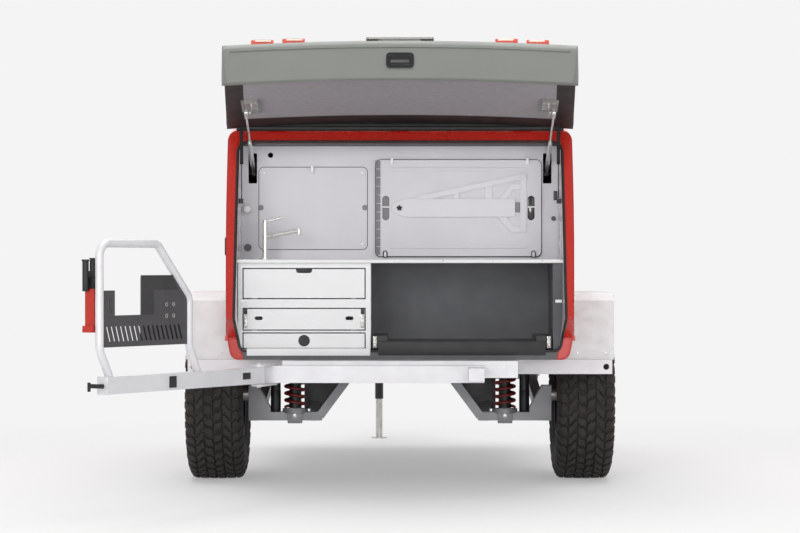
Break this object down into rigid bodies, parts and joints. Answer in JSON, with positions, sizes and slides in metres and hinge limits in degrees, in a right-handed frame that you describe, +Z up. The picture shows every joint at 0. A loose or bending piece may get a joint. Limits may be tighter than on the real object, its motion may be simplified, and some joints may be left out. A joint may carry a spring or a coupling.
{
  "type": "teardrop trailer",
  "caption": "Single-axle teardrop camping trailer with a raised rear hatch over an open galley, a swing-out carrier arm and trailing-arm suspension, parked on its tongue jack.",
  "frame": {"origin": "centre of the coupler's ball socket at its mouth, in its parked height", "axes": "+X to the right seen from the rear, +Y forward along the tongue, +Z up"},
  "size_m": [2.2924, 5.6579, 1.999],
  "materials": {
    "body_red": "glossy red gel coat",
    "deck_dark": "dark coated deck edge",
    "black_plastic": "moulded black plastic",
    "lamp_red": "red lamp lens",
    "frame_silver": "silver powder coat",
    "fender_aluminium": "light brushed sheet",
    "frame_black": "black powder coat",
    "zinc": "zinc plated",
    "arm_grey": "grey powder coat",
    "spring_red": "dark red coated wire",
    "webbing": "black webbing",
    "galley_silver": "satin silver powder coat",
    "bay_charcoal": "charcoal lining",
    "tap_steel": "brushed steel",
    "fitting_grey": "small moulded fittings",
    "tyre_black": "all-terrain rubber",
    "rim_black": "satin black alloy",
    "hatch_grey": "grey-green paint",
    "liner_grey": "grey moulded liner",
    "plate_bare": "blank plate",
    "strut_silver": "silver gas strut",
    "plate_dark": "dark grey powder coat",
    "jack_red": "red painted steel",
    "window_glass": "tinted glass"
  },
  "bodies": {
    "trailer": {"side_right": "body_red", "side_left": "body_red", "roof_shell": "body_red", "floor_deck": "deck_dark", "roof_vent": "black_plastic", "side_lamps": "lamp_red", "grab_handle": "black_plastic", "frame_rails": "frame_silver", "frame_crossmembers": "frame_silver", "tongue_tube": "frame_silver", "tongue_braces": "frame_silver", "coupler": "frame_black", "tongue_jack": "frame_black", "jack_leg": "zinc", "bumper_beam": "frame_silver", "outrigger_beams": "frame_silver", "fenders": "fender_aluminium", "trailing_arms": "arm_grey", "stub_axles": "zinc", "coil_springs": "spring_red", "suspension_seats": "frame_black", "shock_absorbers": "frame_black", "hatch_anchors": "zinc", "hatch_hinges": "black_plastic", "limit_straps": "webbing", "galley_bulkhead": "galley_silver", "galley_counter": "galley_silver", "drawer_cabinet": "galley_silver", "bay_lining": "bay_charcoal", "access_panel": "galley_silver", "table_panel": "galley_silver", "table_arm": "galley_silver", "galley_tap": "tap_steel", "galley_fittings": "fitting_grey"},
    "wheel_left": {"tyre_left": "tyre_black", "rim_left": "rim_black"},
    "wheel_right": {"tyre_right": "tyre_black", "rim_right": "rim_black"},
    "hatch": {"hatch_shell": "hatch_grey", "hatch_margin": "black_plastic", "hatch_liner": "liner_grey", "hatch_lamps": "lamp_red", "plate_panel": "plate_bare", "hatch_latch": "black_plastic", "strut_brackets": "zinc"},
    "strut_barrel_pair": {"strut_barrels": "strut_silver"},
    "strut_rod_pair": {"strut_rods": "strut_silver"},
    "swing_arm": {"arm_beam": "frame_silver", "arm_hoop": "frame_silver", "arm_plate": "plate_dark", "arm_jack": "jack_red", "arm_pull_pin": "black_plastic"},
    "side_door_left": {"door_left": "body_red", "door_window_left": "window_glass"},
    "side_door_right": {"door_right": "body_red", "door_window_right": "window_glass"},
    "upper_drawer": {"drawer_upper": "galley_silver"},
    "lower_drawer": {"drawer_lower": "galley_silver"},
    "bottom_drawer": {"drawer_bottom": "galley_silver"},
    "sliding_tray": {"bay_tray": "black_plastic"}
  },
  "joints": [
    {"name": "wheel_left_spin", "type": "hinge", "parent": "trailer", "child": "wheel_left", "pos_m": [-0.882, -3.34, -0.1425], "axis": [1, 0, 0], "continuous": true},
    {"name": "wheel_right_spin", "type": "hinge", "parent": "trailer", "child": "wheel_right", "pos_m": [0.882, -3.34, -0.1425], "axis": [1, 0, 0], "continuous": true},
    {"name": "hatch_lift", "type": "hinge", "parent": "trailer", "child": "hatch", "pos_m": [0, -4.088, 1.114], "axis": [-1, 0, 0], "range_deg": [-84.5, 0], "deforming": ["limit_straps"]},
    {"name": "strut_swing", "type": "hinge", "parent": "trailer", "child": "strut_barrel_pair", "pos_m": [0, -3.82, 0.915], "axis": [-1, 0, 0], "range_deg": [-42.4, 0]},
    {"name": "strut_stroke", "type": "slide", "parent": "strut_barrel_pair", "child": "strut_rod_pair", "axis": [0, -0.9227, 0.3856], "range_m": [-0.2771, 0]},
    {"name": "arm_swing", "type": "hinge", "parent": "trailer", "child": "swing_arm", "pos_m": [-0.62, -4.56, 0.001], "axis": [0, 0, -1], "range_deg": [-120, 0]},
    {"name": "door_left_swing", "type": "hinge", "parent": "trailer", "child": "side_door_left", "pos_m": [-0.796, -1.9, 0.58], "axis": [0, 0, -1], "range_deg": [0, 95]},
    {"name": "door_right_swing", "type": "hinge", "parent": "trailer", "child": "side_door_right", "pos_m": [0.796, -1.9, 0.58], "axis": [0, 0, 1], "range_deg": [0, 95]},
    {"name": "drawer_upper_slide", "type": "slide", "parent": "trailer", "child": "upper_drawer", "axis": [0, -1, 0], "range_m": [0, 0.3]},
    {"name": "drawer_lower_slide", "type": "slide", "parent": "trailer", "child": "lower_drawer", "axis": [0, -1, 0], "range_m": [0, 0.3]},
    {"name": "drawer_bottom_slide", "type": "slide", "parent": "trailer", "child": "bottom_drawer", "axis": [0, -1, 0], "range_m": [0, 0.3]},
    {"name": "tray_slide", "type": "slide", "parent": "trailer", "child": "sliding_tray", "axis": [0, -1, 0], "range_m": [0, 0.33]}
  ],
  "couplings": [
    {"joint": "strut_swing", "follows": "hatch_lift", "ratio": 0.4991},
    {"joint": "strut_stroke", "follows": "hatch_lift", "m_per_rad": 0.1872}
  ]
}
